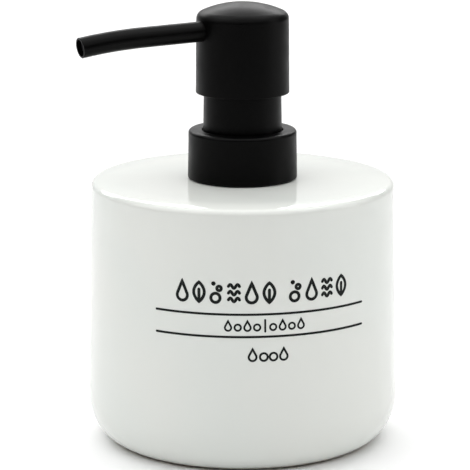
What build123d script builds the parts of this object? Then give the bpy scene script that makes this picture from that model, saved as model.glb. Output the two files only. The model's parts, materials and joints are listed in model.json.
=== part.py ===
from build123d import *
from math import cos, radians, sin, sqrt, tan
import os

# Pump dispenser for liquid soap: a glazed ceramic bottle, and a lotion pump whose screw closure
# fits a threaded adapter held in the bottle's mouth by a soft sleeve.
# Millimetres. +Z is up. The origin is on the bottle's axis, on the plane that it stands on.
# The bottle's front faces -Y.

# Bottle
BODY_TOP_R = 45.0           # side wall at the shoulder
BODY_LOW_R = 46.3           # side wall where the base curve starts
BASE_CURVE_H = 14.0         # height of that place
FOOT_R = 36.4               # the ring that the bottle stands on, outside
FOOT_INNER_R = 30.0         # and inside
FOOT_RECESS = 1.5           # depth of the hollow inside the foot ring
FOOT_BEVEL = 0.6
SEAT_Z = 78.6               # top of the bottle, beside its mouth
CROWN_FLAT_R = 36.0         # the top is level as far as this, and then falls towards the shoulder
CROWN_FALL_R = 60.0         # in an arc of this radius
SHOULDER_ROUND = 1.9
BODY_WALL = 4.2
TOP_WALL = 5.0
FLOOR_WALL = 4.0
INSIDE_LOW_ROUND = 9.0
INSIDE_TOP_ROUND = 5.0
CEILING_FALL = 0.65         # how far the ceiling falls from the mouth to the wall
MOUTH_R = 13.9
MOUTH_ROUND = 0.9

# Adapter and its sealing sleeve
SLEEVE_R = 13.2             # soft sleeve between its fins
FIN_R = 13.86
FIN_H = 0.9
FIN_COUNT = 3
FIN_GAP = 0.7
SEAL_BORE_R = 12.0
SEAL_FLANGE_R = 14.7
SEAL_FLANGE_T = 0.8
SEAL_LIFT = 0.05            # under the flange
ADAPTER_BORE_R = 10.4
ADAPTER_BEAD_R = 12.9       # bead that keeps the sleeve on
ADAPTER_BEAD_H = 1.3
ADAPTER_FLANGE_T = 1.2
LIP_Z = 88.7                # top of the threaded neck

# Neck thread, 28 mm closure
THREAD_PITCH = 25.4 / 6
NECK_ROOT_R = 12.6
NECK_CREST_R = 13.55
CAP_ROOT_R = 13.85
CAP_CREST_R = 12.85
THREAD_BASE_W = 2.0
THREAD_CREST_W = 0.9
THREAD_BITE = 0.25          # how deep a thread's foot is sunk in its wall
NECK_THREAD_Z = 82.3        # middle of the neck thread where it starts
NECK_THREAD_TURNS = 1.15
CAP_THREAD_LEAD = 0.43      # the cap's thread starts this part of a turn later
CAP_THREAD_TURNS = 1.2

# Closure
CAP_R = 15.1
CAP_LOW_Z = 80.9
CAP_WEB_T = 1.05
CAP_HOLE_R = 8.5
COLLAR_LOW_R = 16.2
COLLAR_TOP_R = 16.0
COLLAR_LOW_Z = 78.85
COLLAR_TOP_Z = 93.2
COLLAR_WALL = 0.8
COLLAR_ROUND = 1.0
COLLAR_HOLE_R = 11.95
NECK_SLEEVE_LOW_R = 11.65   # visible tube between collar and head
NECK_SLEEVE_TOP_R = 11.45
NECK_SLEEVE_WALL = 0.9
NECK_SLEEVE_TOP_Z = 105.4
NECK_SLEEVE_FOOT_R = 13.2
NECK_SLEEVE_FOOT_T = 0.5
NECK_SLEEVE_HOLE_R = 6.5

# Pump housing, from the top down
GASKET_T = 1.0
GASKET_R = 12.5
GASKET_BORE_R = 8.3
HOUSING_FLANGE_R = 12.4
HOUSING_FLANGE_T = 1.1
HOUSING_BOSS_R = 8.2        # passes up through the cap
HOUSING_BOSS_H = 1.3
HOUSING_R = 7.9
BUSH_BORE_R = 7.1           # counterbore for the guide bush
BUSH_SHELF_Z = 80.5
BARREL_R = 6.6              # where the piston runs
CAGE_SHELF_Z = 42.2
CHAMBER_R = 4.6
CHAMBER_WALL = 1.4
SEAT_LOW_Z = 36.0           # narrow end of the inlet ball's conical seat
SEAT_BORE_R = 1.5
TUBE_STOP_Z = 34.5
TUBE_SOCKET_Z = 24.0
TUBE_SOCKET_WALL = 1.3
VENT_R = 0.6
VENT_Z = 77.0

# Dip tube
TUBE_R = 3.0
TUBE_BORE_R = 2.1
TUBE_END_Z = 7.5
TUBE_CUT_RISE = 3.5         # the foot of the tube is cut at a slant

# Guide bush and wiper
BUSH_FIT = 0.03
GUIDE_CLEARANCE = 0.06
BUSH_FLANGE_R = 9.8
BUSH_FLANGE_T = 1.2
BUSH_CHIMNEY_R = 6.2
BUSH_TOP_Z = 96.8
WIPER_R = 5.2
WIPER_H = 1.4
WIPER_CLEARANCE = 0.03

# Plunger, at the top of its stroke
STEM_R = 4.0
STEM_BORE_R = 2.0
STEM_TOP_Z = 117.0
OUTLET_SEAT_Z = 112.6
OUTLET_THROAT_R = 1.1
OUTLET_THROAT_H = 1.4
OUTLET_CHAMBER_R = 2.4
ROD_R = 2.6
ROD_BORE_R = 1.3
ROD_FLANGE_R = 5.6
ROD_FLANGE_T = 1.2
ROD_NOSE_R = 3.8
ROD_NOSE_H = 2.2
ROD_TOP_Z = 88.0
PISTON_LOW_Z = 73.8
PISTON_TOP_Z = 80.2
PISTON_LIP_R = 6.55
PISTON_BODY_R = 4.6
PISTON_LIP_H = 2.0
PISTON_LIP_T = 0.7

# Valves
INLET_BALL_R = 2.4
OUTLET_BALL_R = 1.8
BALL_GAP = 0.03
CAGE_T = 1.4
CAGE_RIM_W = 1.6
CAGE_HUB_R = 2.0
CAGE_SPOKES = 4
CAGE_SPOKE_W = 1.3

# Return spring
SPRING_R = 4.75             # to the middle of the wire
SPRING_WIRE_R = 0.45
SPRING_TURNS = 9

# Head
HEAD_RIM_R = 13.8
HEAD_SIDE_R = 13.6
HEAD_RIM_Z = 104.2
HEAD_TOP_Z = 130.9
HEAD_DOME_R = 29.8
HEAD_WALL = 1.0
HEAD_ROUND = 2.6
RIM_ROUND = 0.3
CORE_R = 12.4
CORE_WEB_Z = 116.2
CORE_WEB_T = 2.0
CORE_HUB_R = 6.0
CORE_SKIRT_Z = 108.0
CORE_TOP_Z = 126.2
CORE_CEILING_GAP = 0.05
CORE_RIBS = 6
CORE_RIB_T = 1.2
CORE_RIB_TOP_Z = 124.6
SOCKET_CLEARANCE = 0.05
CORE_BOSS_R = 4.1
CHANNEL_R = 1.4

# Spout
SPOUT_HEADING = 19.0        # degrees from -X towards the front
SPOUT_R = 3.0
SPOUT_WALL = 0.55
SPOUT_ROOT = 5.5            # distances from the head's axis
SPOUT_BEND_START = 31.7
SPOUT_TIP = 51.7
SPOUT_GAUGE = 15.0          # where the centre line's height is stated
SPOUT_GAUGE_Z = 123.0
SPOUT_SLOPE = 1.5           # degrees below level before the bend
SPOUT_TIP_SLOPE = 8.9       # and at the tip
SPOUT_HOLE_GAP = 0.06
LINER_BORE_R = 1.5
LINER_FIT = 0.03
LINER_SETBACK = 1.4

# Heights that follow from the stack on the adapter's lip
HOUSING_SEAT_Z = LIP_Z + GASKET_T
HOUSING_FLANGE_Z = HOUSING_SEAT_Z + HOUSING_FLANGE_T
HOUSING_TOP_Z = HOUSING_FLANGE_Z + HOUSING_BOSS_H
CAP_WEB_Z = HOUSING_FLANGE_Z + 0.05
CAP_TOP_Z = CAP_WEB_Z + CAP_WEB_T
ADAPTER_FLANGE_Z = SEAT_Z + SEAL_LIFT + SEAL_FLANGE_T
CAGE_TOP_Z = CAGE_SHELF_Z + CAGE_T


def turned(outline, rounds=()):
    """A solid turned about Z. rounds holds (radius, height, rounding) for corners to soften."""
    face = make_face(outline)
    for radius, height, rounding in rounds:
        corner = face.vertices().sort_by_distance((radius, height, 0))[0]
        face = fillet(corner, rounding)
    return revolve(Plane.XZ * face, Axis.Z)


def turned_corners(*corners):
    """A solid turned about Z from its corners, each (radius, height) or (radius, height, rounding)."""
    outline = Polyline(*[corner[:2] for corner in corners], close=True)
    return turned(outline, [corner for corner in corners if len(corner) == 3])


def ring(outer, inner, low, high):
    """A plain ring about Z."""
    return turned_corners((inner, low), (outer, low), (outer, high), (inner, high))


def disc(radius, low, high):
    """A plain disc about Z."""
    return Pos(0, 0, low) * Cylinder(radius, high - low, align=(Align.CENTER, Align.CENTER, Align.MIN))


def helical_ridge(wall_radius, crest_radius, start_z, turns, start_turn=0.0):
    """A thread's ridge, standing on a wall of wall_radius and reaching to crest_radius."""
    outward = 1 if crest_radius > wall_radius else -1
    foot = wall_radius - outward * THREAD_BITE
    path = Helix(THREAD_PITCH, turns * THREAD_PITCH, foot, center=(0, 0, start_z))
    height = abs(crest_radius - foot)
    section = Polyline(
        (0, -THREAD_BASE_W / 2),
        (0, THREAD_BASE_W / 2),
        (outward * height, THREAD_CREST_W / 2),
        (outward * height, -THREAD_CREST_W / 2),
        close=True,
    )
    start = Plane(origin=path @ 0, x_dir=(1, 0, 0), z_dir=path % 0)
    ridge = sweep(start * make_face(section), path=path, is_frenet=True)
    return Rot(0, 0, 360 * start_turn) * ridge


def crown_height(radius):
    """Height of the bottle's top at a radius: level, then falling in an arc."""
    reach = max(0, radius - CROWN_FLAT_R)
    return SEAT_Z - CROWN_FALL_R + sqrt(CROWN_FALL_R**2 - reach**2)


def ball_height(ball_radius, seat_low_z, seat_bore_r):
    """Height of a ball's centre, resting just clear of a conical seat of 45 degrees."""
    return seat_low_z - seat_bore_r + ball_radius * sqrt(2) + BALL_GAP


def bottle():
    """Ceramic bottle with a foot ring, a rolled base, a crisp shoulder and a plain mouth."""
    shoulder_z = crown_height(BODY_TOP_R)
    halfway = (BODY_TOP_R + CROWN_FLAT_R) / 2
    outline = [
        Line((0, FOOT_RECESS), (FOOT_INNER_R - FOOT_BEVEL, FOOT_RECESS)),
        Line((FOOT_INNER_R - FOOT_BEVEL, FOOT_RECESS), (FOOT_INNER_R, 0)),
        Line((FOOT_INNER_R, 0), (FOOT_R, 0)),
        EllipticalCenterArc((FOOT_R, BASE_CURVE_H), BODY_LOW_R - FOOT_R, BASE_CURVE_H, 270, arc_size=90),
        Line((BODY_LOW_R, BASE_CURVE_H), (BODY_TOP_R, shoulder_z)),
        ThreePointArc((BODY_TOP_R, shoulder_z), (halfway, crown_height(halfway)), (CROWN_FLAT_R, SEAT_Z)),
        Line((CROWN_FLAT_R, SEAT_Z), (0, SEAT_Z)),
        Line((0, SEAT_Z), (0, FOOT_RECESS)),
    ]
    body = turned(Curve() + outline, [(BODY_TOP_R, shoulder_z, SHOULDER_ROUND)])
    hollow_floor = FOOT_RECESS + FLOOR_WALL
    hollow_top = SEAT_Z - TOP_WALL
    hollow = turned_corners(
        (0, hollow_floor),
        (BODY_LOW_R - BODY_WALL, hollow_floor, INSIDE_LOW_ROUND),
        (BODY_TOP_R - BODY_WALL, hollow_top - CEILING_FALL, INSIDE_TOP_ROUND),
        (MOUTH_R, hollow_top),
        (0, hollow_top),
    )
    body = body - hollow - disc(MOUTH_R, hollow_top - CEILING_FALL, SEAT_Z + 1)
    mouth = [e for e in body.edges().filter_by(GeomType.CIRCLE) if abs(e.radius - MOUTH_R) < 0.01]
    return fillet(mouth, MOUTH_ROUND)


def plug_seal():
    """Soft sleeve with fins that grip the mouth, and a flange that rests on the bottle's top."""
    flange_low = SEAT_Z + SEAL_LIFT
    sleeve_low = SEAT_Z - TOP_WALL - 0.4
    seal = ring(SLEEVE_R, SEAL_BORE_R, sleeve_low, flange_low + SEAL_FLANGE_T)
    seal += ring(SEAL_FLANGE_R, SEAL_BORE_R, flange_low, flange_low + SEAL_FLANGE_T)
    first_fin = SEAT_Z - MOUTH_ROUND - FIN_COUNT * FIN_H - (FIN_COUNT - 1) * FIN_GAP
    for number in range(FIN_COUNT):
        low = first_fin + number * (FIN_H + FIN_GAP)
        seal += turned_corners(
            (SEAL_BORE_R, low),
            (SLEEVE_R, low),
            (FIN_R, low + FIN_H / 3),
            (FIN_R, low + FIN_H),
            (SEAL_BORE_R, low + FIN_H),
        )
    return seal


def neck_adapter():
    """Threaded neck with a plug inside the sealing sleeve."""
    sleeve_low = SEAT_Z - TOP_WALL - 0.4
    neck = turned_corners(
        (ADAPTER_BORE_R, sleeve_low - ADAPTER_BEAD_H, 0.4),
        (ADAPTER_BEAD_R - 0.6, sleeve_low - ADAPTER_BEAD_H, 0.3),
        (ADAPTER_BEAD_R, sleeve_low),
        (SEAL_BORE_R, sleeve_low),
        (SEAL_BORE_R, ADAPTER_FLANGE_Z),
        (SEAL_FLANGE_R, ADAPTER_FLANGE_Z),
        (SEAL_FLANGE_R, ADAPTER_FLANGE_Z + ADAPTER_FLANGE_T, 0.3),
        (NECK_ROOT_R, ADAPTER_FLANGE_Z + ADAPTER_FLANGE_T),
        (NECK_ROOT_R, LIP_Z, 0.4),
        (ADAPTER_BORE_R, LIP_Z),
    )
    return neck + helical_ridge(NECK_ROOT_R, NECK_CREST_R, NECK_THREAD_Z, NECK_THREAD_TURNS)


def closure_cap():
    """Screw cap inside the collar. Its web holds the pump's flange down on the neck."""
    cap = turned_corners(
        (CAP_ROOT_R, CAP_LOW_Z, 0.3),
        (CAP_R, CAP_LOW_Z, 0.3),
        (CAP_R, CAP_TOP_Z, 0.6),
        (CAP_HOLE_R, CAP_TOP_Z),
        (CAP_HOLE_R, CAP_WEB_Z),
        (CAP_ROOT_R, CAP_WEB_Z),
    )
    start_z = NECK_THREAD_Z + THREAD_PITCH * (CAP_THREAD_LEAD - 0.5)
    return cap + helical_ridge(CAP_ROOT_R, CAP_CREST_R, start_z, CAP_THREAD_TURNS, CAP_THREAD_LEAD)


def collar_shell():
    """Smooth cover over the screw cap."""
    return turned_corners(
        (COLLAR_LOW_R - COLLAR_WALL, COLLAR_LOW_Z),
        (COLLAR_LOW_R, COLLAR_LOW_Z, RIM_ROUND),
        (COLLAR_TOP_R, COLLAR_TOP_Z, COLLAR_ROUND),
        (COLLAR_HOLE_R, COLLAR_TOP_Z, RIM_ROUND),
        (COLLAR_HOLE_R, COLLAR_TOP_Z - COLLAR_WALL),
        (COLLAR_TOP_R - COLLAR_WALL, COLLAR_TOP_Z - COLLAR_WALL, 0.4),
    )


def neck_sleeve():
    """Tube that shows between the collar and the head, with a foot trapped under the collar."""
    web_low = NECK_SLEEVE_TOP_Z - NECK_SLEEVE_WALL
    return turned_corners(
        (NECK_SLEEVE_LOW_R - NECK_SLEEVE_WALL, CAP_TOP_Z),
        (NECK_SLEEVE_FOOT_R, CAP_TOP_Z),
        (NECK_SLEEVE_FOOT_R, CAP_TOP_Z + NECK_SLEEVE_FOOT_T),
        (NECK_SLEEVE_LOW_R, CAP_TOP_Z + NECK_SLEEVE_FOOT_T),
        (NECK_SLEEVE_TOP_R, NECK_SLEEVE_TOP_Z, 0.7),
        (NECK_SLEEVE_HOLE_R, NECK_SLEEVE_TOP_Z),
        (NECK_SLEEVE_HOLE_R, web_low),
        (NECK_SLEEVE_TOP_R - NECK_SLEEVE_WALL, web_low),
    )


def neck_gasket():
    """Flat washer between the pump's flange and the neck's lip."""
    return ring(GASKET_R, GASKET_BORE_R, LIP_Z, HOUSING_SEAT_Z)


def pump_housing():
    """Pump barrel with its flange, ball seat and dip tube socket, and a vent hole in its side."""
    chamber_r = CHAMBER_R + CHAMBER_WALL
    socket_r = TUBE_R + TUBE_SOCKET_WALL
    cone_top = SEAT_LOW_Z + CHAMBER_R - SEAT_BORE_R
    housing = turned_corners(
        (TUBE_R, TUBE_SOCKET_Z, 0.3),
        (socket_r, TUBE_SOCKET_Z, 0.4),
        (socket_r, TUBE_STOP_Z, 0.8),
        (chamber_r, TUBE_STOP_Z + 2, 0.8),
        (chamber_r, CAGE_SHELF_Z - 3, 0.8),
        (HOUSING_R, CAGE_SHELF_Z - 1, 0.8),
        (HOUSING_R, HOUSING_SEAT_Z),
        (HOUSING_FLANGE_R, HOUSING_SEAT_Z),
        (HOUSING_FLANGE_R, HOUSING_FLANGE_Z, 0.3),
        (HOUSING_BOSS_R, HOUSING_FLANGE_Z),
        (HOUSING_BOSS_R, HOUSING_TOP_Z, 0.3),
        (BUSH_BORE_R, HOUSING_TOP_Z),
        (BUSH_BORE_R, BUSH_SHELF_Z),
        (BARREL_R, BUSH_SHELF_Z),
        (BARREL_R, CAGE_SHELF_Z),
        (CHAMBER_R, CAGE_SHELF_Z),
        (CHAMBER_R, cone_top),
        (SEAT_BORE_R, SEAT_LOW_Z),
        (SEAT_BORE_R, TUBE_STOP_Z),
        (TUBE_R, TUBE_STOP_Z),
    )
    vent = Pos(0, HOUSING_R, VENT_Z) * Rot(90, 0, 0) * Cylinder(VENT_R, 2 * (HOUSING_R - BARREL_R) + 1)
    return housing - vent


def dip_tube():
    """Suction tube with a slanted foot, pressed into the housing."""
    tube = ring(TUBE_R, TUBE_BORE_R, TUBE_END_Z, TUBE_STOP_Z)
    slant = Polyline(
        (-TUBE_R - 1, TUBE_END_Z - 1),
        (TUBE_R, TUBE_END_Z),
        (-TUBE_R - 1, TUBE_END_Z + TUBE_CUT_RISE),
        close=True,
    )
    return tube - extrude(Plane.XZ * make_face(slant), TUBE_R + 1, both=True)


def ball_cage():
    """Spoked plate that traps the inlet ball and seats the spring."""
    rim_inner = BARREL_R - CAGE_RIM_W
    cage = ring(BARREL_R, rim_inner, CAGE_SHELF_Z, CAGE_TOP_Z) + disc(CAGE_HUB_R, CAGE_SHELF_Z, CAGE_TOP_Z)
    reach = rim_inner + CAGE_RIM_W / 2
    for number in range(CAGE_SPOKES // 2):
        turn = Rot(0, 0, number * 360 / CAGE_SPOKES)
        cage += turn * Pos(0, 0, CAGE_SHELF_Z + CAGE_T / 2) * Box(2 * reach, CAGE_SPOKE_W, CAGE_T)
    return cage


def inlet_ball():
    """Ball that lets soap up out of the dip tube and not back."""
    return Pos(0, 0, ball_height(INLET_BALL_R, SEAT_LOW_Z, SEAT_BORE_R)) * Sphere(INLET_BALL_R)


def return_spring():
    """Compression spring between the ball cage and the piston rod's flange."""
    low = CAGE_TOP_Z + SPRING_WIRE_R
    high = PISTON_LOW_Z - ROD_FLANGE_T - SPRING_WIRE_R
    path = Helix((high - low) / SPRING_TURNS, high - low, SPRING_R, center=(0, 0, low))
    start = Plane(origin=path @ 0, x_dir=(1, 0, 0), z_dir=path % 0)
    return sweep(start * Circle(SPRING_WIRE_R), path=path, is_frenet=True)


def guide_bush():
    """Bush that snaps into the housing over the cap's web and guides the stem."""
    spigot_r = BUSH_BORE_R - BUSH_FIT
    bore_r = STEM_R + GUIDE_CLEARANCE
    return turned_corners(
        (bore_r, BUSH_SHELF_Z, 0.4),
        (spigot_r, BUSH_SHELF_Z, 0.3),
        (spigot_r, HOUSING_TOP_Z),
        (BUSH_FLANGE_R, HOUSING_TOP_Z, 0.2),
        (BUSH_FLANGE_R, HOUSING_TOP_Z + BUSH_FLANGE_T, 0.4),
        (BUSH_CHIMNEY_R, HOUSING_TOP_Z + BUSH_FLANGE_T, 0.5),
        (BUSH_CHIMNEY_R, BUSH_TOP_Z, 0.3),
        (WIPER_R, BUSH_TOP_Z),
        (WIPER_R, BUSH_TOP_Z - WIPER_H),
        (bore_r, BUSH_TOP_Z - WIPER_H),
    )


def stem_wiper():
    """Soft lip ring that keeps water off the stem's bearing."""
    inner = STEM_R + WIPER_CLEARANCE
    low = BUSH_TOP_Z - WIPER_H
    return turned_corners(
        (inner, BUSH_TOP_Z),
        (inner, BUSH_TOP_Z - WIPER_H / 2),
        (inner + 0.3, low),
        (WIPER_R, low),
        (WIPER_R, BUSH_TOP_Z),
    )


def piston_rod():
    """Hollow rod through the piston, pressed into the stem. The spring bears on its flange."""
    flange_low = PISTON_LOW_Z - ROD_FLANGE_T
    return turned_corners(
        (ROD_BORE_R, flange_low - ROD_NOSE_H),
        (ROD_NOSE_R, flange_low - ROD_NOSE_H, 0.5),
        (ROD_NOSE_R, flange_low),
        (ROD_FLANGE_R, flange_low),
        (ROD_FLANGE_R, PISTON_LOW_Z, 0.3),
        (ROD_R, PISTON_LOW_Z),
        (ROD_R, ROD_TOP_Z, 0.3),
        (ROD_BORE_R, ROD_TOP_Z),
    )


def piston():
    """Double-lipped piston that seals in the barrel."""
    lip_inner = PISTON_LIP_R - PISTON_LIP_T
    return turned_corners(
        (ROD_R, PISTON_LOW_Z),
        (PISTON_BODY_R, PISTON_LOW_Z),
        (PISTON_BODY_R, PISTON_LOW_Z + PISTON_LIP_H, 0.3),
        (lip_inner, PISTON_LOW_Z, 0.1),
        (PISTON_LIP_R, PISTON_LOW_Z, 0.1),
        (PISTON_BODY_R + 0.9, PISTON_LOW_Z + PISTON_LIP_H + 0.4),
        (PISTON_BODY_R + 0.9, PISTON_TOP_Z - PISTON_LIP_H - 0.4),
        (PISTON_LIP_R, PISTON_TOP_Z, 0.1),
        (lip_inner, PISTON_TOP_Z, 0.1),
        (PISTON_BODY_R, PISTON_TOP_Z - PISTON_LIP_H, 0.3),
        (PISTON_BODY_R, PISTON_TOP_Z),
        (ROD_R, PISTON_TOP_Z),
    )


def stem():
    """Hollow stem from the piston to the head, with the outlet ball's seat at its top."""
    cone_top = OUTLET_SEAT_Z + OUTLET_CHAMBER_R - OUTLET_THROAT_R
    throat_low = OUTLET_SEAT_Z - OUTLET_THROAT_H
    return turned_corners(
        (ROD_R, PISTON_TOP_Z),
        (STEM_R, PISTON_TOP_Z, 0.3),
        (STEM_R, STEM_TOP_Z, 0.3),
        (OUTLET_CHAMBER_R, STEM_TOP_Z),
        (OUTLET_CHAMBER_R, cone_top),
        (OUTLET_THROAT_R, OUTLET_SEAT_Z),
        (OUTLET_THROAT_R, throat_low),
        (STEM_BORE_R, throat_low),
        (STEM_BORE_R, ROD_TOP_Z),
        (ROD_R, ROD_TOP_Z),
    )


def outlet_ball():
    """Ball that keeps the head primed."""
    return Pos(0, 0, ball_height(OUTLET_BALL_R, OUTLET_SEAT_Z, OUTLET_THROAT_R)) * Sphere(OUTLET_BALL_R)


def dome_height(radius, inset):
    """Height of the head's dome at a radius, on its outside or inset towards the inside."""
    return HEAD_TOP_Z - HEAD_DOME_R + sqrt((HEAD_DOME_R - inset) ** 2 - radius**2)


def dome_arc(radius, inset):
    """The dome's arc from a radius in to the axis."""
    middle = (radius / 2, dome_height(radius / 2, inset))
    return ThreePointArc((radius, dome_height(radius, inset)), middle, (0, dome_height(0, inset)))


def spout_line():
    """Centre line of the spout, leading away along -X: straight, then one wide bend."""
    root_z = SPOUT_GAUGE_Z + (SPOUT_GAUGE - SPOUT_ROOT) * tan(radians(SPOUT_SLOPE))
    bend_z = SPOUT_GAUGE_Z - (SPOUT_BEND_START - SPOUT_GAUGE) * tan(radians(SPOUT_SLOPE))
    bend_radius = (SPOUT_TIP - SPOUT_BEND_START) / (sin(radians(SPOUT_TIP_SLOPE)) - sin(radians(SPOUT_SLOPE)))
    heading = (-cos(radians(SPOUT_SLOPE)), -sin(radians(SPOUT_SLOPE)))
    straight = Line((-SPOUT_ROOT, root_z), (-SPOUT_BEND_START, bend_z))
    bend = JernArc(straight @ 1, heading, bend_radius, SPOUT_TIP_SLOPE - SPOUT_SLOPE)
    return Plane.XZ * (Curve() + [straight, bend])


def spout_solid(radius):
    """A round bar along the spout's centre line, turned to the spout's heading."""
    path = spout_line().wire()
    start = Plane(origin=path @ 0, z_dir=path % 0)
    return Rot(0, 0, SPOUT_HEADING) * sweep(start * Circle(radius), path=path)


def spout_bore(radius, near, far):
    """A straight bar along the spout's first stretch, between two distances from the axis."""
    slope = tan(radians(SPOUT_SLOPE))
    start = Vector(-near, 0, SPOUT_GAUGE_Z + (SPOUT_GAUGE - near) * slope)
    end = Vector(-far, 0, SPOUT_GAUGE_Z + (SPOUT_GAUGE - far) * slope)
    bar = extrude(Plane(origin=start, z_dir=end - start) * Circle(radius), (end - start).length)
    return Rot(0, 0, SPOUT_HEADING) * bar


def head_shell():
    """Domed cover of the head, with a hole for the spout."""
    inner_r = HEAD_SIDE_R - HEAD_WALL
    outline = [
        Line((HEAD_RIM_R - HEAD_WALL, HEAD_RIM_Z), (HEAD_RIM_R, HEAD_RIM_Z)),
        Line((HEAD_RIM_R, HEAD_RIM_Z), (HEAD_SIDE_R, dome_height(HEAD_SIDE_R, 0))),
        dome_arc(HEAD_SIDE_R, 0),
        Line((0, HEAD_TOP_Z), (0, HEAD_TOP_Z - HEAD_WALL)),
        dome_arc(inner_r, HEAD_WALL),
        Line((inner_r, dome_height(inner_r, HEAD_WALL)), (HEAD_RIM_R - HEAD_WALL, HEAD_RIM_Z)),
    ]
    rounds = [
        (HEAD_SIDE_R, dome_height(HEAD_SIDE_R, 0), HEAD_ROUND),
        (inner_r, dome_height(inner_r, HEAD_WALL), HEAD_ROUND - HEAD_WALL),
        (HEAD_RIM_R, HEAD_RIM_Z, RIM_ROUND),
        (HEAD_RIM_R - HEAD_WALL, HEAD_RIM_Z, RIM_ROUND),
    ]
    shell = turned(Curve() + outline, rounds)
    return shell - spout_bore(SPOUT_R + SPOUT_HOLE_GAP, SPOUT_ROOT, HEAD_RIM_R + 2)


def actuator_core():
    """Ribbed core inside the head, with a socket for the stem and a channel to the spout."""
    core = disc(CORE_HUB_R, CORE_SKIRT_Z, CORE_TOP_Z)
    core += disc(CORE_R, CORE_WEB_Z, CORE_WEB_Z + CORE_WEB_T)
    rib_height = CORE_RIB_TOP_Z - CORE_WEB_Z
    for number in range(CORE_RIBS):
        turn = Rot(0, 0, SPOUT_HEADING + (number + 0.5) * 360 / CORE_RIBS)
        core += turn * Pos(CORE_R / 2, 0, CORE_WEB_Z + rib_height / 2) * Box(CORE_R - 0.4, CORE_RIB_T, rib_height)
    core += spout_bore(CORE_BOSS_R, 0, CORE_R - 1.2)
    ceiling = STEM_TOP_Z + CORE_CEILING_GAP
    core -= disc(STEM_R + SOCKET_CLEARANCE, CORE_SKIRT_Z - 1, ceiling)
    core -= disc(CHANNEL_R, ceiling - 1, SPOUT_GAUGE_Z)
    core -= spout_bore(CHANNEL_R, 0, SPOUT_ROOT + 1)
    return core - spout_bore(SPOUT_R, SPOUT_ROOT, CORE_R + 2)


def spout_tube():
    """Bent metal tube of the spout."""
    tube = spout_solid(SPOUT_R)
    tip = tube.faces().filter_by(GeomType.PLANE).sort_by_distance((0, 0, SPOUT_GAUGE_Z))[-1]
    tube = fillet(tip.edges(), 0.15)
    return tube - spout_solid(SPOUT_R - SPOUT_WALL)


def spout_liner():
    """Soft tube inside the spout, ending a little short of its tip."""
    outer = SPOUT_R - SPOUT_WALL - LINER_FIT
    liner = spout_solid(outer) - spout_solid(LINER_BORE_R)
    bend_end = spout_line().wire()
    cut = Plane(origin=bend_end @ 1, z_dir=bend_end % 1)
    trim = Rot(0, 0, SPOUT_HEADING) * extrude(cut * Circle(2 * SPOUT_R), -LINER_SETBACK)
    return liner - trim


PIECES = [
    bottle,
    plug_seal,
    neck_adapter,
    closure_cap,
    collar_shell,
    neck_sleeve,
    neck_gasket,
    pump_housing,
    dip_tube,
    ball_cage,
    inlet_ball,
    return_spring,
    guide_bush,
    stem_wiper,
    piston_rod,
    piston,
    stem,
    outlet_ball,
    head_shell,
    actuator_core,
    spout_tube,
    spout_liner,
]

os.makedirs("parts", exist_ok=True)
for piece in PIECES:
    solid = piece()
    export_step(solid, f"parts/{piece.__name__}.step")
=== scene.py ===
import json
from math import asin, ceil, cos, degrees, pi, radians, sin, sqrt, tan

import bpy
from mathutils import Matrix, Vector


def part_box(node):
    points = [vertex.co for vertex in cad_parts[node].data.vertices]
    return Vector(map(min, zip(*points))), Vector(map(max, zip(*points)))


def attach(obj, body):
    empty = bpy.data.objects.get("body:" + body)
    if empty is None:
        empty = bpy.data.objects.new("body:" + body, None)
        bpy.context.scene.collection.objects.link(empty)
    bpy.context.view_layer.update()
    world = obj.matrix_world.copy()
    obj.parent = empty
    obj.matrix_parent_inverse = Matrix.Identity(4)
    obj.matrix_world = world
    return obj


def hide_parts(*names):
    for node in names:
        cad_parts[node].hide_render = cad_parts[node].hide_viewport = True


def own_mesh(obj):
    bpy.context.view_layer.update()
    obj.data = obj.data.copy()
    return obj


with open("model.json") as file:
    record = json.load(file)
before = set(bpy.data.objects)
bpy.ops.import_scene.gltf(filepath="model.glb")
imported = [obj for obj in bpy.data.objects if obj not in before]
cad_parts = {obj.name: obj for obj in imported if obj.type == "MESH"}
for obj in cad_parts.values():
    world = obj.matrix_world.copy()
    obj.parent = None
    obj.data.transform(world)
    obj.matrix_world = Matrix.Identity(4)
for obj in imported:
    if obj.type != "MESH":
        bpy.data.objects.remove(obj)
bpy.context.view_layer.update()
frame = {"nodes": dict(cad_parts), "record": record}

MM = 0.001

# The bottle's outline, in millimetres, as the CAD model has it.
BODY_TOP_R = 45.0
BODY_LOW_R = 46.3
BASE_CURVE_H = 14.0
FOOT_R = 36.4
FOOT_INNER_R = 30.0
FOOT_RECESS = 1.5
FOOT_EDGE = 0.4             # how far inside the base's curve the flat foot ends
FOOT_ROUND = 0.4
RECESS_SLOPE = 0.8          # how far the recess's wall leans in
RECESS_ROUND = 0.5
SEAT_Z = 78.6
CROWN_FLAT_R = 36.0
CROWN_FALL_R = 60.0
SHOULDER_ROUND = 1.9
MOUTH_R = 13.9
MOUTH_ROUND = 0.9
MOUTH_LOW_ROUND = 0.8
INNER_TOP_R = 40.8
INNER_LOW_R = 42.1
CEILING_Z = 73.6
CEILING_FALL = 0.65
CEILING_ROUND = 5
INNER_FLOOR_Z = 5.5
INNER_FLOOR_ROUND = 9

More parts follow.
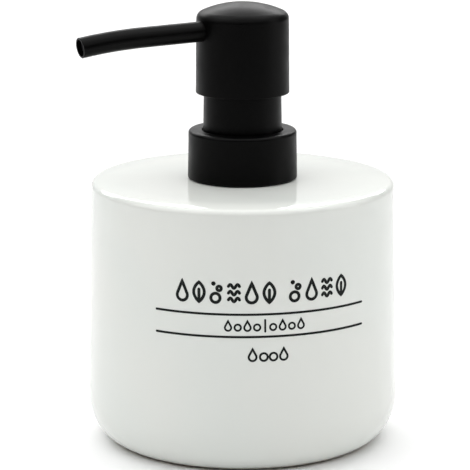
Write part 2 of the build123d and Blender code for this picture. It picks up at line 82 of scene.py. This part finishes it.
# The print on the bottle's front. Places are millimetres round the side from the front, and heights.
PRINT_CENTRE = 0.5
PRINT_PROUD = 0.04
PRINT_SINK = 0.05
RULE_HALF = 32.3
RULE_W = 0.66
RULE_LOW_Z = 41.7
RULE_HIGH_Z = 48.2
LARGE_LOW_Z = 51.2
LARGE_H = 6.5
LARGE_W = 4.0
LARGE_PITCH = 5.03
LARGE_GROUP_GAP = 2.6
LARGE_STROKE = 0.88
SMALL_LOW_Z = 43.5
SMALL_H = 2.8
SMALL_DROP_W = 1.8
SMALL_RING_R = 0.9
SMALL_RING_Z = 44.45
SMALL_START = 2.3
SMALL_PITCH = 2.75
SMALL_BAR_EXTRA = 0.3       # how far the bar between the small marks stands past them, up and down
SMALL_STROKE = 0.56
LAST_LOW_Z = 34.7
LAST_H = 3.4
LAST_DROP_W = 2.2
LAST_RING_R = 1.1
LAST_DROPS = (-3.6, 5.4)
LAST_RINGS = (-0.4, 2.4)
LAST_STROKE = 0.62

# The return spring.
SPRING_R = 4.75
SPRING_WIRE_R = 0.45
SPRING_TURNS = 9
SPRING_END_TURNS = 1.0


# ---------------------------------------------------------------- mesh helpers


def new_piece(name, points, faces, body, slot, crease=35):
    """A mesh object in metres from points in millimetres, riding on a body, with its slot's material."""
    mesh = bpy.data.meshes.new(name)
    mesh.from_pydata([Vector(p) * MM for p in points], [], faces)
    mesh.validate()
    mesh.shade_smooth()
    mesh.set_sharp_from_angle(angle=radians(crease))
    mesh.materials.append(materials[slot])
    piece = bpy.data.objects.new(name, mesh)
    bpy.context.scene.collection.objects.link(piece)
    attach(piece, body)
    return piece


def softened(corners, steps=10):
    """An outline from its corners, each (x, y) or (x, y, rounding), with the rounded ones as arcs."""
    points = []
    for n, corner in enumerate(corners):
        if len(corner) < 3 or n in (0, len(corners) - 1):
            points.append(Vector(corner[:2]))
            continue
        here = Vector(corner[:2])
        back = (Vector(corners[n - 1][:2]) - here).normalized()
        ahead = (Vector(corners[n + 1][:2]) - here).normalized()
        half = back.angle(ahead) / 2
        centre = here + (back + ahead).normalized() * corner[2] / sin(half)
        start = here + back * corner[2] / tan(half)
        end = here + ahead * corner[2] / tan(half)
        sweep = (start - centre).angle_signed(end - centre)
        for step in range(steps + 1):
            turn = -sweep * step / steps
            arm = start - centre
            points.append(centre + Vector((arm.x * cos(turn) - arm.y * sin(turn),
                                           arm.x * sin(turn) + arm.y * cos(turn))))
    return points


def divided(points, longest):
    """The same outline with no run longer than a length, so that shading stays even along it."""
    fine = [points[0]]
    for a, b in zip(points, points[1:]):
        parts = max(1, ceil((b - a).length / longest))
        fine += [a.lerp(b, n / parts) for n in range(1, parts + 1)]
    return fine


def turned(name, outline, body, slot, segments=192):
    """A closed solid of revolution about Z. The outline's first and last points lie on the axis."""
    angles = [2 * pi * n / segments for n in range(segments)]
    points = [(0, 0, outline[0].y)]
    for r, z in outline[1:-1]:
        points += [(r * cos(angle), r * sin(angle), z) for angle in angles]
    points.append((0, 0, outline[-1].y))
    faces = []
    rings = len(outline) - 2
    for n in range(segments):
        after = (n + 1) % segments
        faces.append((0, 1 + after, 1 + n))
        for ring in range(rings - 1):
            low, high = 1 + ring * segments, 1 + (ring + 1) * segments
            faces.append((low + n, low + after, high + after, high + n))
        last = 1 + (rings - 1) * segments
        faces.append((last + n, last + after, len(points) - 1))
    return new_piece(name, points, faces, body, slot)


# ---------------------------------------------------------------- material helpers


class Finish:
    """A Principled material with short calls for the nodes that give it its detail."""

    def __init__(self, name, colour, roughness, **sockets):
        self.material = bpy.data.materials.new(name)
        self.material.use_nodes = True
        self.material.diffuse_color = (*colour, 1)
        self.nodes = self.material.node_tree.nodes
        self.links = self.material.node_tree.links
        self.shader = self.nodes["Principled BSDF"]
        self.shader.inputs["Base Color"].default_value = (*colour, 1)
        self.shader.inputs["Roughness"].default_value = roughness
        for socket, value in sockets.items():
            self.shader.inputs[socket.replace("_", " ")].default_value = value
        self.place = self.nodes.new("ShaderNodeTexCoord").outputs["Object"]

    def noise(self, size, detail=2.0, stretch=(1, 1, 1), seed=0.0):
        """Noise from 0 to 1 with features of about a size in millimetres."""
        mapping = self.nodes.new("ShaderNodeMapping")
        mapping.inputs["Scale"].default_value = stretch
        mapping.inputs["Location"].default_value = (seed, seed, seed)
        self.links.new(self.place, mapping.inputs["Vector"])
        texture = self.nodes.new("ShaderNodeTexNoise")
        texture.inputs["Scale"].default_value = 1 / (size * MM)
        texture.inputs["Detail"].default_value = detail
        self.links.new(mapping.outputs["Vector"], texture.inputs["Vector"])
        return texture.outputs["Fac"]

    def specks(self, spacing, radius):
        """1 inside small round specks scattered at a spacing, both in millimetres, and 0 elsewhere."""
        texture = self.nodes.new("ShaderNodeTexVoronoi")
        texture.inputs["Scale"].default_value = 1 / (spacing * MM)
        self.links.new(self.place, texture.inputs["Vector"])
        return self.ramp(texture.outputs["Distance"], radius / spacing, 0.4 * radius / spacing)

    def height(self):
        """Height in the piece's own frame, in metres, which at rest is its height above the floor."""
        split = self.nodes.new("ShaderNodeSeparateXYZ")
        self.links.new(self.place, split.inputs["Vector"])
        return split.outputs["Z"]

    def ramp(self, value, low, high, to_low=0.0, to_high=1.0):
        """A value taken from one range to another, with smooth ends."""
        remap = self.nodes.new("ShaderNodeMapRange")
        remap.interpolation_type = "SMOOTHSTEP"
        remap.inputs["From Min"].default_value = low
        remap.inputs["From Max"].default_value = high
        remap.inputs["To Min"].default_value = to_low
        remap.inputs["To Max"].default_value = to_high
        self.links.new(value, remap.inputs["Value"])
        return remap.outputs["Result"]

    def vary_roughness(self, value, low, high):
        """Runs the roughness between two figures, by a noise value."""
        self.links.new(self.ramp(value, 0.3, 0.7, low, high), self.shader.inputs["Roughness"])

    def tint(self, value, other):
        """Blends another colour over the one so far, by a value from 0 to 1."""
        mix = self.nodes.new("ShaderNodeMix")
        mix.data_type = "RGBA"
        self.links.new(value, mix.inputs["Factor"])
        base = self.shader.inputs["Base Color"]
        if base.is_linked:
            self.links.new(base.links[0].from_socket, mix.inputs["A"])
        else:
            mix.inputs["A"].default_value = base.default_value
        mix.inputs["B"].default_value = (*other, 1)
        self.links.new(mix.outputs["Result"], base)

    def bump(self, value, depth):
        """Raises the surface by a value, to a depth in millimetres. A second call adds to the first."""
        bump = self.nodes.new("ShaderNodeBump")
        bump.inputs["Distance"].default_value = depth * MM
        self.links.new(value, bump.inputs["Height"])
        normal = self.shader.inputs["Normal"]
        if normal.is_linked:
            self.links.new(normal.links[0].from_socket, bump.inputs["Normal"])
        self.links.new(bump.outputs["Normal"], normal)


# ---------------------------------------------------------------- materials


def glaze():
    """White gloss glaze: slow waves, a few pinholes, and bare bisque on the foot ring."""
    finish = Finish("glaze", (0.795, 0.822, 0.785), 0.08)
    finish.tint(finish.ramp(finish.noise(38, 1), 0.35, 0.65, 0, 0.6), (0.815, 0.825, 0.785))
    pinholes = finish.specks(17, 0.16)
    finish.tint(finish.ramp(pinholes, 0, 1, 0, 0.5), (0.42, 0.40, 0.36))
    bare = finish.ramp(finish.height(), 1.1 * MM, 0.7 * MM)
    finish.tint(bare, (0.66, 0.60, 0.52))
    rougher = finish.nodes.new("ShaderNodeMath")
    rougher.operation = "MAXIMUM"
    finish.links.new(finish.ramp(finish.noise(9, 2, seed=3), 0.3, 0.7, 0.06, 0.09), rougher.inputs[0])
    finish.links.new(finish.ramp(bare, 0, 1, 0, 0.85), rougher.inputs[1])
    finish.links.new(rougher.outputs["Value"], finish.shader.inputs["Roughness"])
    finish.bump(finish.noise(14, 1, (1, 1, 0.5)), 0.05)
    finish.bump(finish.noise(1.4, 3, seed=5), 0.0015)
    return finish.material


def print_ink():
    """Black screen print, a little uneven where the ink lies on the glaze."""
    finish = Finish("print_ink", (0.008, 0.010, 0.009), 0.42, Specular_IOR_Level=0.15)
    finish.tint(finish.ramp(finish.noise(1.2, 3), 0.55, 0.8, 0, 0.5), (0.02, 0.022, 0.02))
    finish.vary_roughness(finish.noise(0.6, 2, seed=2), 0.36, 0.5)
    finish.bump(finish.noise(0.25, 2), 0.004)
    return finish.material


def black_coat():
    """Satin black coating with the fine grain of sprayed paint."""
    finish = Finish("black_coat", (0.0004, 0.0004, 0.0004), 0.38, Specular_IOR_Level=0.09)
    finish.tint(finish.ramp(finish.noise(6, 2), 0.4, 0.75, 0, 0.6), (0.0008, 0.0008, 0.0007))
    finish.vary_roughness(finish.noise(4, 3, seed=7), 0.35, 0.42)
    finish.bump(finish.noise(0.32, 3), 0.006)
    finish.bump(finish.noise(2.4, 1, seed=4), 0.01)
    return finish.material


def black_moulding():
    """Matt black moulded plastic inside the closure and the head."""
    finish = Finish("black_moulding", (0.018, 0.018, 0.019), 0.5, Specular_IOR_Level=0.35)
    finish.tint(finish.ramp(finish.noise(3, 3), 0.4, 0.8, 0, 0.6), (0.028, 0.028, 0.029))
    finish.vary_roughness(finish.noise(1.5, 3), 0.44, 0.58)
    finish.bump(finish.noise(0.2, 2), 0.008)
    return finish.material


def natural_moulding():
    """Uncoloured polypropylene, milky, with faint flow marks."""
    finish = Finish("natural_moulding", (0.74, 0.75, 0.72), 0.34, Subsurface_Weight=0.35,
                    Subsurface_Scale=1.2 * MM, IOR=1.49)
    finish.tint(finish.ramp(finish.noise(5, 3, (1, 1, 0.25)), 0.4, 0.7, 0, 0.7), (0.80, 0.80, 0.76))
    finish.vary_roughness(finish.noise(2.2, 3), 0.28, 0.42)
    finish.bump(finish.noise(0.5, 2), 0.004)
    return finish.material


def clear_tube():
    """Natural polyethylene tube, cloudy and drawn along its length."""
    finish = Finish("clear_tube", (0.86, 0.88, 0.86), 0.22, Transmission_Weight=0.7, IOR=1.3)
    finish.tint(finish.ramp(finish.noise(3, 2, (1, 1, 0.1)), 0.4, 0.7, 0, 0.6), (0.93, 0.94, 0.92))
    finish.vary_roughness(finish.noise(1.5, 2, (1, 1, 0.08)), 0.18, 0.3)
    finish.bump(finish.noise(0.6, 2, (1, 1, 0.05)), 0.002)
    return finish.material


def soft_seal():
    """Translucent grey silicone with a dull skin."""
    finish = Finish("soft_seal", (0.56, 0.57, 0.56), 0.48, Subsurface_Weight=0.3, Subsurface_Scale=0.8 * MM)
    finish.tint(finish.ramp(finish.noise(2.5, 3), 0.4, 0.7, 0, 0.6), (0.64, 0.64, 0.62))
    finish.vary_roughness(finish.noise(1.0, 3), 0.42, 0.56)
    finish.bump(finish.noise(0.3, 2), 0.006)
    return finish.material


def piston_plastic():
    """Bright white polyethylene of the piston."""
    finish = Finish("piston_plastic", (0.80, 0.80, 0.77), 0.3, Subsurface_Weight=0.25,
                    Subsurface_Scale=0.8 * MM)
    finish.tint(finish.ramp(finish.noise(2, 3), 0.4, 0.7, 0, 0.6), (0.86, 0.86, 0.83))
    finish.vary_roughness(finish.noise(1.2, 3), 0.26, 0.38)
    finish.bump(finish.noise(0.4, 2), 0.004)
    return finish.material


def spring_steel():
    """Drawn stainless wire."""
    finish = Finish("spring_steel", (0.52, 0.52, 0.51), 0.26, Metallic=1.0)
    finish.tint(finish.ramp(finish.noise(1.8, 3), 0.45, 0.75, 0, 0.7), (0.38, 0.37, 0.35))
    finish.vary_roughness(finish.noise(0.5, 3), 0.2, 0.36)
    finish.bump(finish.noise(0.12, 2, (1, 1, 4)), 0.004)
    return finish.material


def ball_steel():
    """Polished steel ball with hairline handling marks."""
    finish = Finish("ball_steel", (0.62, 0.62, 0.62), 0.06, Metallic=1.0)
    finish.tint(finish.ramp(finish.noise(1.5, 3), 0.5, 0.8, 0, 0.5), (0.5, 0.5, 0.5))
    finish.vary_roughness(finish.noise(0.8, 4), 0.04, 0.14)
    finish.bump(finish.noise(0.15, 2, (6, 1, 1)), 0.001)
    return finish.material


FINISHES = [glaze, print_ink, black_coat, black_moulding, natural_moulding, clear_tube,
            soft_seal, piston_plastic, spring_steel, ball_steel]
materials = {finish.__name__: finish() for finish in FINISHES}


# ---------------------------------------------------------------- bottle


def crown_height(radius):
    """Height of the bottle's top at a radius: level, then falling in an arc."""
    reach = max(0, radius - CROWN_FLAT_R)
    return SEAT_Z - CROWN_FALL_R + sqrt(CROWN_FALL_R**2 - reach**2)


def side_radius(height):
    """Radius of the bottle's side wall at a height between its base curve and its shoulder."""
    share = (height - BASE_CURVE_H) / (crown_height(BODY_TOP_R) - BASE_CURVE_H)
    return BODY_LOW_R + (BODY_TOP_R - BODY_LOW_R) * share


def bottle():
    """The ceramic bottle, glazed inside and out, with a bare foot ring."""
    curve_steps = 24
    base_curve = [
        (FOOT_R + (BODY_LOW_R - FOOT_R) * sin(pi / 2 * n / curve_steps),
         BASE_CURVE_H * (1 - cos(pi / 2 * n / curve_steps)))
        for n in range(1, curve_steps + 1)
    ]
    clear_of_rounds = 0.3
    crown_outer = BODY_TOP_R - SHOULDER_ROUND - clear_of_rounds
    crown_width = crown_outer - (MOUTH_R + MOUTH_ROUND + clear_of_rounds)
    crown_steps = 20
    crown_radii = [crown_outer - crown_width * n / crown_steps for n in range(crown_steps + 1)]
    crown = [(radius, crown_height(radius)) for radius in crown_radii]
    outline = softened([
        (0, FOOT_RECESS),
        (FOOT_INNER_R - RECESS_SLOPE, FOOT_RECESS, RECESS_ROUND),
        (FOOT_INNER_R, 0, FOOT_ROUND),
        (FOOT_R - FOOT_EDGE, 0),
        *base_curve,
        (BODY_TOP_R, crown_height(BODY_TOP_R), SHOULDER_ROUND),
        *crown,
        (MOUTH_R, SEAT_Z, MOUTH_ROUND),
        (MOUTH_R, CEILING_Z, MOUTH_LOW_ROUND),
        (INNER_TOP_R, CEILING_Z - CEILING_FALL, CEILING_ROUND),
        (INNER_LOW_R, INNER_FLOOR_Z, INNER_FLOOR_ROUND),
        (0, INNER_FLOOR_Z),
    ])
    piece = turned("glazed_bottle", divided(outline, longest=3), "bottle", "glaze")
    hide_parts("bottle")


# ---------------------------------------------------------------- print


def circle(x, y, radius, start=0.0, end=360.0):
    """Points round a circle or an arc, anticlockwise from start to end, in degrees."""
    degrees_at_1_mm = 9
    steps = max(8, ceil((end - start) * radius / degrees_at_1_mm))
    angles = [radians(start + (end - start) * n / steps) for n in range(steps + 1)]
    return [Vector((x + radius * cos(a), y + radius * sin(a))) for a in angles]


def line(*points):
    """A straight or broken line, divided so that it can bend round the bottle."""
    return divided([Vector(p) for p in points], longest=0.8)


def drop(x, low, height, width):
    """A water drop: round below, drawn out to a point above."""
    radius = width / 2
    reach = height - radius
    lean = degrees(asin(radius / reach))
    bowl = circle(x, low + radius, radius, 180 - lean, 360 + lean)
    return line(bowl[-1], (x, low + height), bowl[0])[:-1] + bowl


def wave(x, y, width, height):
    """A wavy line, from left to right."""
    humps = 1.5
    steps = 24
    return [
        Vector((x + width * (n / steps - 0.5), y + height / 2 * sin(2 * pi * humps * n / steps)))
        for n in range(steps + 1)
    ]


def leaf(x, low, height, width):
    """A pointed leaf."""
    steps = 20
    side = [(width / 2 * sin(pi * n / steps) ** 0.8, low + height * n / steps) for n in range(steps + 1)]
    right = [Vector((x + dx, y)) for dx, y in side]
    left = [Vector((x - dx, y)) for dx, y in reversed(side)]
    return right + left[1:]


def drop_mark(x, low, height, width, stroke):
    """A drop, drawn so that its ink keeps to the height and width."""
    return [drop(x, low + stroke / 2, height - stroke, width - stroke)]


def bubble_mark(x, low, height, width, stroke):
    """A large bubble with a small one and a dot above it."""
    large = (width - stroke) * 0.42
    small = (width - stroke) * 0.2
    dot = small * 0.3
    top = low + height - stroke / 2
    return [
        circle(x - width * 0.06, low + stroke / 2 + large, large),
        circle(x + width * 0.2, top - small - height * 0.14, small),
        circle(x - width * 0.2, top - dot, dot),
    ]


def leaf_mark(x, low, height, width, stroke):
    """A leaf with a midrib from its foot."""
    return [
        leaf(x, low + stroke / 2, height - stroke, width - stroke),
        line((x, low + stroke / 2), (x, low + height * 0.62)),
    ]


def wave_mark(x, low, height, width, stroke):
    """Three waves, one over the other."""
    return [
        wave(x, low + height * share, width - stroke, height * 0.16)
        for share in (0.2, 0.5, 0.8)
    ]


def ribbon(path, stroke):
    """A stroke's edges along a path, as (left, right) pairs with round ends, and whether it is closed."""
    closed = (path[0] - path[-1]).length < 1e-6
    if closed:
        path = path[:-1]
    pairs = []
    for n, point in enumerate(path):
        before = path[n - 1] if closed or n else point
        after = path[(n + 1) % len(path)] if closed or n < len(path) - 1 else point
        along_in = (point - before).normalized()
        along_out = (after - point).normalized()
        along = (along_in + along_out).normalized()
        bend = max(0.5, along.dot(along_out if along_out.length else along_in))
        across = Vector((-along.y, along.x)) * stroke / 2 / bend
        pairs.append((point + across, point - across))
    if not closed:
        start = (path[1] - path[0]).normalized()
        end = (path[-1] - path[-2]).normalized()
        pairs = cap(path[0], -start, stroke)[::-1] + pairs + [p[::-1] for p in cap(path[-1], end, stroke)]
    return pairs, closed


def cap(point, outward, stroke):
    """A round end as pairs of points, from the stroke's full width out to its tip."""
    across = Vector((outward.y, -outward.x))
    pairs = []
    for turn in (30, 55, 78):
        out = outward * sin(radians(turn)) * stroke / 2
        side = across * cos(radians(turn)) * stroke / 2
        pairs.append((point + out + side, point + out - side))
    return pairs


def on_bottle(place, lift):
    """A point of the print, bent round the bottle's side and lifted off the glaze."""
    radius = side_radius(place.y) + lift
    angle = (place.x + PRINT_CENTRE) / side_radius(place.y) - pi / 2
    return (radius * cos(angle), radius * sin(angle), place.y)


def printed(name, strokes, width):
    """Strokes of ink as thin closed bands on the glaze."""
    points, faces = [], []
    for path in strokes:
        pairs, closed = ribbon(path, width)
        first = len(points)
        for left, right in pairs:
            points += [on_bottle(left, PRINT_PROUD), on_bottle(right, PRINT_PROUD)]
            points += [on_bottle(right, -PRINT_SINK), on_bottle(left, -PRINT_SINK)]
        count = len(pairs)
        for n in range(count if closed else count - 1):
            here, there = first + 4 * n, first + 4 * ((n + 1) % count)
            for side in range(4):
                other = (side + 1) % 4
                faces.append((here + side, here + other, there + other, there + side))
        if not closed:
            last = first + 4 * (count - 1)
            faces.append((first + 3, first + 2, first + 1, first))
            faces.append((last, last + 1, last + 2, last + 3))
    new_piece(name, points, faces, "bottle", "print_ink")


def print_front():
    """Two rules with small marks between them, a row of large marks above and a short row below."""
    rules = [line((-RULE_HALF, z), (RULE_HALF, z)) for z in (RULE_LOW_Z, RULE_HIGH_Z)]
    printed("print_rules", rules, RULE_W)
    row = [drop_mark, leaf_mark, bubble_mark, wave_mark, drop_mark, leaf_mark,
           bubble_mark, drop_mark, wave_mark, leaf_mark]
    first_group = 6
    length = LARGE_PITCH * (len(row) - 1) + LARGE_GROUP_GAP
    large = []
    for n, mark in enumerate(row):
        x = -length / 2 + n * LARGE_PITCH + (LARGE_GROUP_GAP if n >= first_group else 0)
        large += mark(x, LARGE_LOW_Z, LARGE_H, LARGE_W, LARGE_STROKE)
    printed("print_large_marks", large, LARGE_STROKE)
    small = [line((0, SMALL_LOW_Z - SMALL_BAR_EXTRA), (0, SMALL_LOW_Z + SMALL_H + SMALL_BAR_EXTRA))]
    for side in (-1, 1):
        for n in range(4):
            x = side * (SMALL_START + SMALL_PITCH * n)
            if n % 2:
                small.append(drop(x, SMALL_LOW_Z, SMALL_H, SMALL_DROP_W))
            else:
                small.append(circle(x, SMALL_RING_Z, SMALL_RING_R))
    printed("print_small_marks", small, SMALL_STROKE)
    last = [drop(x, LAST_LOW_Z, LAST_H, LAST_DROP_W) for x in LAST_DROPS]
    last += [circle(x, LAST_LOW_Z + LAST_RING_R, LAST_RING_R) for x in LAST_RINGS]
    printed("print_last_marks", last, LAST_STROKE)


# ---------------------------------------------------------------- spring


def return_spring():
    """Compression spring with closed ends, between the ball cage and the piston rod's flange."""
    foot, top = (corner.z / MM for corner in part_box("return_spring"))
    rise = top - foot - 2 * SPRING_WIRE_R
    end_rise = 2 * SPRING_WIRE_R * SPRING_END_TURNS
    turns = SPRING_TURNS + 2 * SPRING_END_TURNS
    steps_a_turn = 32
    steps = ceil(turns * steps_a_turn)
    sides = 12
    points, faces = [], []
    for step in range(steps + 1):
        turn = turns * step / steps
        if turn < SPRING_END_TURNS:
            lift = end_rise * turn / SPRING_END_TURNS
        elif turn > turns - SPRING_END_TURNS:
            lift = rise - end_rise * (turns - turn) / SPRING_END_TURNS
        else:
            lift = end_rise + (rise - 2 * end_rise) * (turn - SPRING_END_TURNS) / SPRING_TURNS
        angle = 2 * pi * turn
        for side in range(sides):
            around = 2 * pi * side / sides
            radius = SPRING_R + SPRING_WIRE_R * cos(around)
            z = foot + SPRING_WIRE_R + lift + SPRING_WIRE_R * sin(around)
            points.append((radius * cos(angle), radius * sin(angle), z))
    for step in range(steps):
        for side in range(sides):
            here = step * sides
            after = (side + 1) % sides
            faces.append((here + side, here + sides + side, here + sides + after, here + after))
    faces.append(tuple(range(sides)))
    faces.append(tuple(steps * sides + side for side in reversed(range(sides))))
    piece = new_piece("coil_spring", points, faces, "pump_frame", "spring_steel", crease=50)
    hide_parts("return_spring")
    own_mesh(piece)


# ---------------------------------------------------------------- the object

bottle()
print_front()
return_spring()

finish_of = {part["node"]: part["material_slot"] for part in frame["record"]["subparts"]}
# Painted shade: the spout liner takes the black moulding instead of its own finish, so that the bore at the
# spout's open end reads dark as shade would make it.
finish_of["spout_liner"] = "black_moulding"  # it shows at the spout's open end
for name, node in frame["nodes"].items():
    node.data.materials.clear()
    node.data.materials.append(materials[finish_of[name]])


# ---------------------------------------------------------------- studio

CAMERA_AZIMUTH = -7.5       # degrees round from the front
CAMERA_DISTANCE = 0.7722    # from the bottle's axis, level
CAMERA_HEIGHT = 0.2361
CAMERA_PITCH = 12.777       # degrees down
CAMERA_TURN = 0.165         # degrees left of the axis
CAMERA_LENS = 203.3
AIR_STRENGTH = 0.01         # light from every direction but the wall's
WALL_STRENGTH = 0.68
WALL_START = 0.60           # how far a direction points back, from 0 to 1, where the wall starts
WALL_FULL = 0.90            # and where it is at full strength


def studio_camera():
    """The photo's view: from a little left of the front, looking down on the object."""
    azimuth = radians(CAMERA_AZIMUTH)
    camera = bpy.data.objects.new("camera", bpy.data.cameras.new("camera"))
    bpy.context.scene.collection.objects.link(camera)
    camera.data.lens = CAMERA_LENS
    camera.data.sensor_width = 36
    camera.data.clip_start = 0.05
    camera.location = (CAMERA_DISTANCE * sin(azimuth), -CAMERA_DISTANCE * cos(azimuth), CAMERA_HEIGHT)
    camera.rotation_euler = (radians(90 - CAMERA_PITCH), 0, azimuth + radians(CAMERA_TURN))
    bpy.context.scene.camera = camera


def studio_air():
    """Unlit surroundings with a pale wall behind the object, which its glaze and coat reflect."""
    world = bpy.data.worlds.new("studio")
    bpy.context.scene.world = world
    world.use_nodes = True
    nodes, links = world.node_tree.nodes, world.node_tree.links
    split = nodes.new("ShaderNodeSeparateXYZ")
    links.new(nodes.new("ShaderNodeTexCoord").outputs["Generated"], split.inputs["Vector"])
    wall = nodes.new("ShaderNodeMapRange")
    wall.interpolation_type = "SMOOTHSTEP"
    wall.inputs["From Min"].default_value = WALL_START
    wall.inputs["From Max"].default_value = WALL_FULL
    wall.inputs["To Min"].default_value = AIR_STRENGTH
    wall.inputs["To Max"].default_value = WALL_STRENGTH
    links.new(split.outputs["Y"], wall.inputs["Value"])
    links.new(wall.outputs["Result"], nodes["Background"].inputs["Strength"])
    nodes["Background"].inputs["Color"].default_value = (1, 1, 1, 1)


def studio_floor():
    """Plain pale floor."""
    bpy.ops.mesh.primitive_plane_add(size=6, location=(0, 0, 0))
    floor = bpy.context.object
    floor.name = "floor"
    finish = Finish("floor", (0.97, 0.97, 0.97), 0.9)
    floor.data.materials.append(finish.material)


def softbox(name, place, size, power, target=(0, 0, 0.07)):
    """A rectangular soft light, aimed at the object unless it has a target of its own."""
    light = bpy.data.objects.new(name, bpy.data.lights.new(name, "AREA"))
    bpy.context.scene.collection.objects.link(light)
    light.data.shape = "RECTANGLE"
    light.data.size, light.data.size_y = size
    light.data.energy = power
    light.location = place
    aim = Vector(target) - Vector(place)
    light.rotation_euler = aim.to_track_quat("-Z", "Y").to_euler()


studio_camera()
studio_air()
studio_floor()
softbox("far_floor", (0, 1.5, 0.9), (2.4, 0.6), 22, target=(0, 1.3, 0))
softbox("back_top", (0, 0.55, 0.95), (1.6, 0.9), 2.8)
softbox("low_top", (0, 0, 0.65), (0.8, 0.5), 2.5)
softbox("front_wide", (0, -0.7, 0.75), (1.6, 0.45), 3.35)
softbox("left_top", (-0.8, -0.1, 0.85), (0.9, 0.9), 4.05)
softbox("right_top", (0.8, -0.1, 0.85), (0.9, 0.9), 2.6)
softbox("right", (0.9, -0.2, 0.3), (0.3, 0.5), 0.7)
bpy.context.scene.view_settings.view_transform = "Standard"
